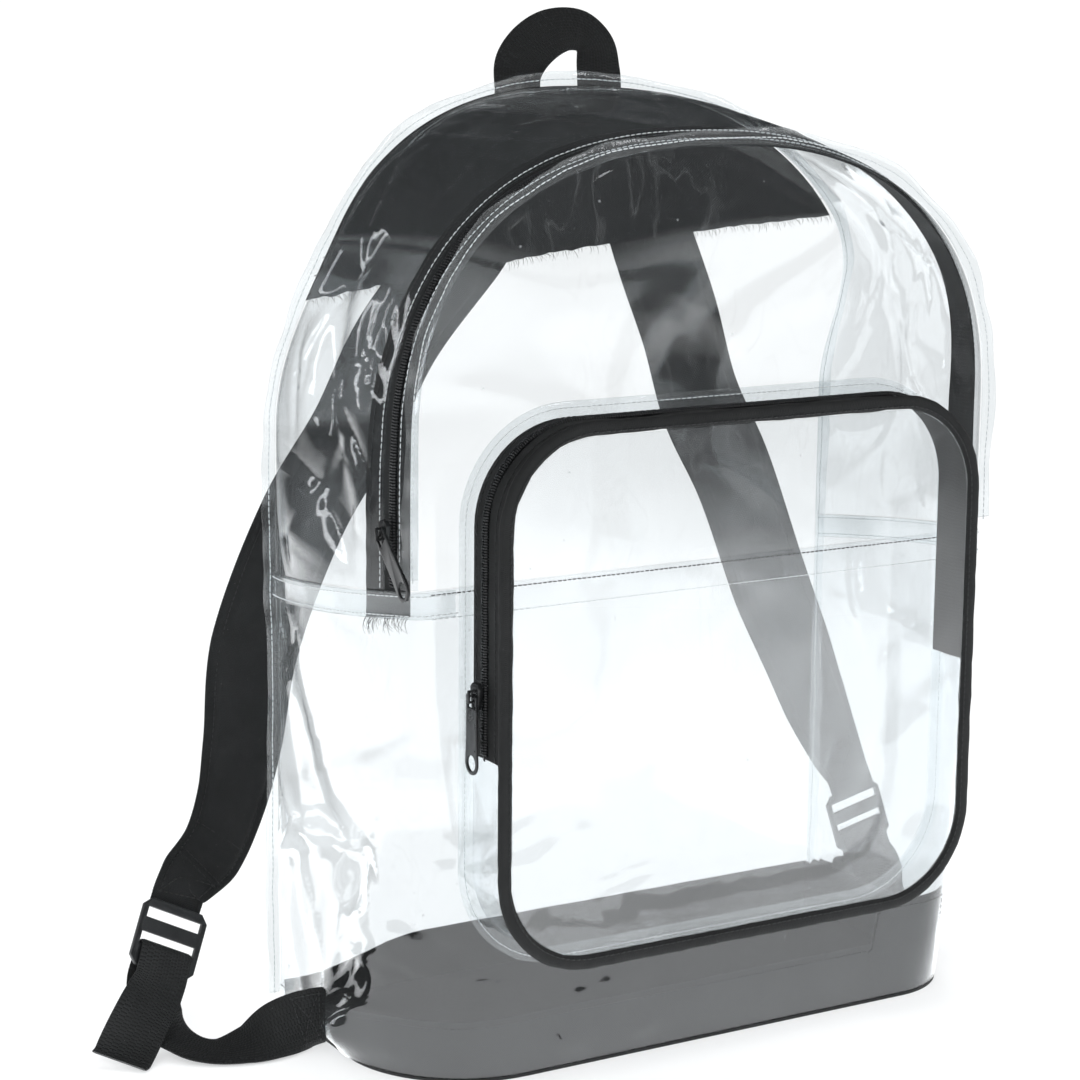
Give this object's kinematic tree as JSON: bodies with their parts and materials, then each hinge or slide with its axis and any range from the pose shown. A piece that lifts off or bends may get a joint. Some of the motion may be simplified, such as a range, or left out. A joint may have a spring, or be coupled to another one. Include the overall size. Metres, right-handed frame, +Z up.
{
  "type": "clear backpack",
  "caption": "Clear vinyl stadium backpack with a black base tub, zipped domed main compartment, zipped front pocket, haul handle and padded shoulder straps.",
  "frame": {"origin": "centre of the base's underside, on the surface that the bag stands on", "axes": "+Z up, +X across the bag to the right as seen from the front, the front and its pocket face -Y, the shoulder straps face +Y"},
  "size_m": [0.5007, 0.2161, 0.4891],
  "materials": {
    "clear_vinyl": "clear glossy flexible sheet, lightly creased",
    "clear_seam": "clear sheet in several layers, stitched",
    "black_fabric": "black woven coated fabric with frayed cut edges",
    "black_webbing": "black woven webbing",
    "zip_tape": "black woven zip tape",
    "black_plastic": "black moulded plastic",
    "black_metal": "black painted metal"
  },
  "bodies": {
    "bag": {"base_tub": "black_fabric", "lower_wrap": "clear_vinyl", "front_panel": "clear_vinyl", "back_panel": "clear_vinyl", "gusset_rear": "clear_vinyl", "gusset_front": "clear_vinyl", "mid_hem_left": "clear_seam", "mid_hem_right": "clear_seam", "front_seam_fin": "clear_seam", "back_seam_fin": "clear_seam", "back_yoke": "black_fabric", "haul_handle": "black_webbing", "main_zip_tape": "zip_tape", "main_zip_coil": "black_plastic", "main_zip_slider": "black_metal", "pocket_flange": "clear_seam", "pocket_wall": "clear_vinyl", "pocket_zip_tape": "zip_tape", "pocket_zip_coil": "black_plastic", "pocket_zip_slider": "black_metal", "pocket_piping": "black_fabric", "pocket_front": "clear_vinyl", "strap_left_pad": "black_fabric", "strap_left_buckle": "black_plastic", "strap_left_webbing": "black_webbing", "strap_right_pad": "black_fabric", "strap_right_buckle": "black_plastic", "strap_right_webbing": "black_webbing"},
    "main_pull": {"main_zip_pull": "black_metal"},
    "pocket_pull": {"pocket_zip_pull": "black_metal"}
  },
  "joints": [
    {"name": "main_zip_pull_swing", "type": "hinge", "parent": "bag", "child": "main_pull", "pos_m": [-0.16787, -0.05394, 0.26139], "axis": [0, 0.6947, -0.7193], "range_deg": [0, 150]},
    {"name": "pocket_zip_pull_swing", "type": "hinge", "parent": "bag", "child": "pocket_pull", "pos_m": [-0.13705, -0.083, 0.19], "axis": [0, 1, 0], "range_deg": [0, 150]}
  ]
}
